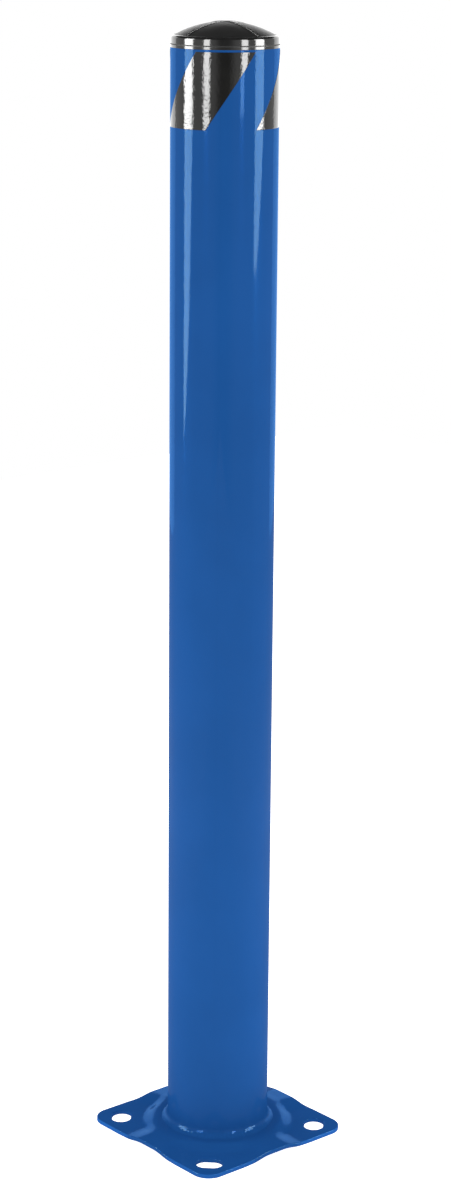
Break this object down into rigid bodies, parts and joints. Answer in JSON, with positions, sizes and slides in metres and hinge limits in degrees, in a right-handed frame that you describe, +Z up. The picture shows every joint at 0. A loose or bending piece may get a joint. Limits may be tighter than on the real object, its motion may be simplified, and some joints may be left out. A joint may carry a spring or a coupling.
{
  "type": "steel safety bollard",
  "caption": "Round blue steel safety post on a pressed square base plate with anchor slots, with slanted black tape stripes and a domed black plug at the top.",
  "frame": {"origin": "centre of the base plate, on the floor, on the tube's axis", "axes": "+Z up along the tube; X and Y square to the base plate's sides"},
  "size_m": [0.2096, 0.2096, 1.2463],
  "materials": {
    "blue_paint": "gloss powder coat",
    "tape_black": "gloss film",
    "cap_plastic": "satin dome, gloss rim"
  },
  "bodies": {
    "post": {"bollard_tube": "blue_paint", "base_plate": "blue_paint", "upper_weld": "blue_paint", "lower_weld": "blue_paint", "tape_stripe_1": "tape_black", "tape_stripe_2": "tape_black", "tape_stripe_3": "tape_black"},
    "cap": {"top_cap": "cap_plastic"}
  },
  "joints": [
    {"name": "cap_lift", "type": "slide", "parent": "post", "child": "cap", "axis": [0, 0, 1], "range_m": [0, 0.045]}
  ]
}
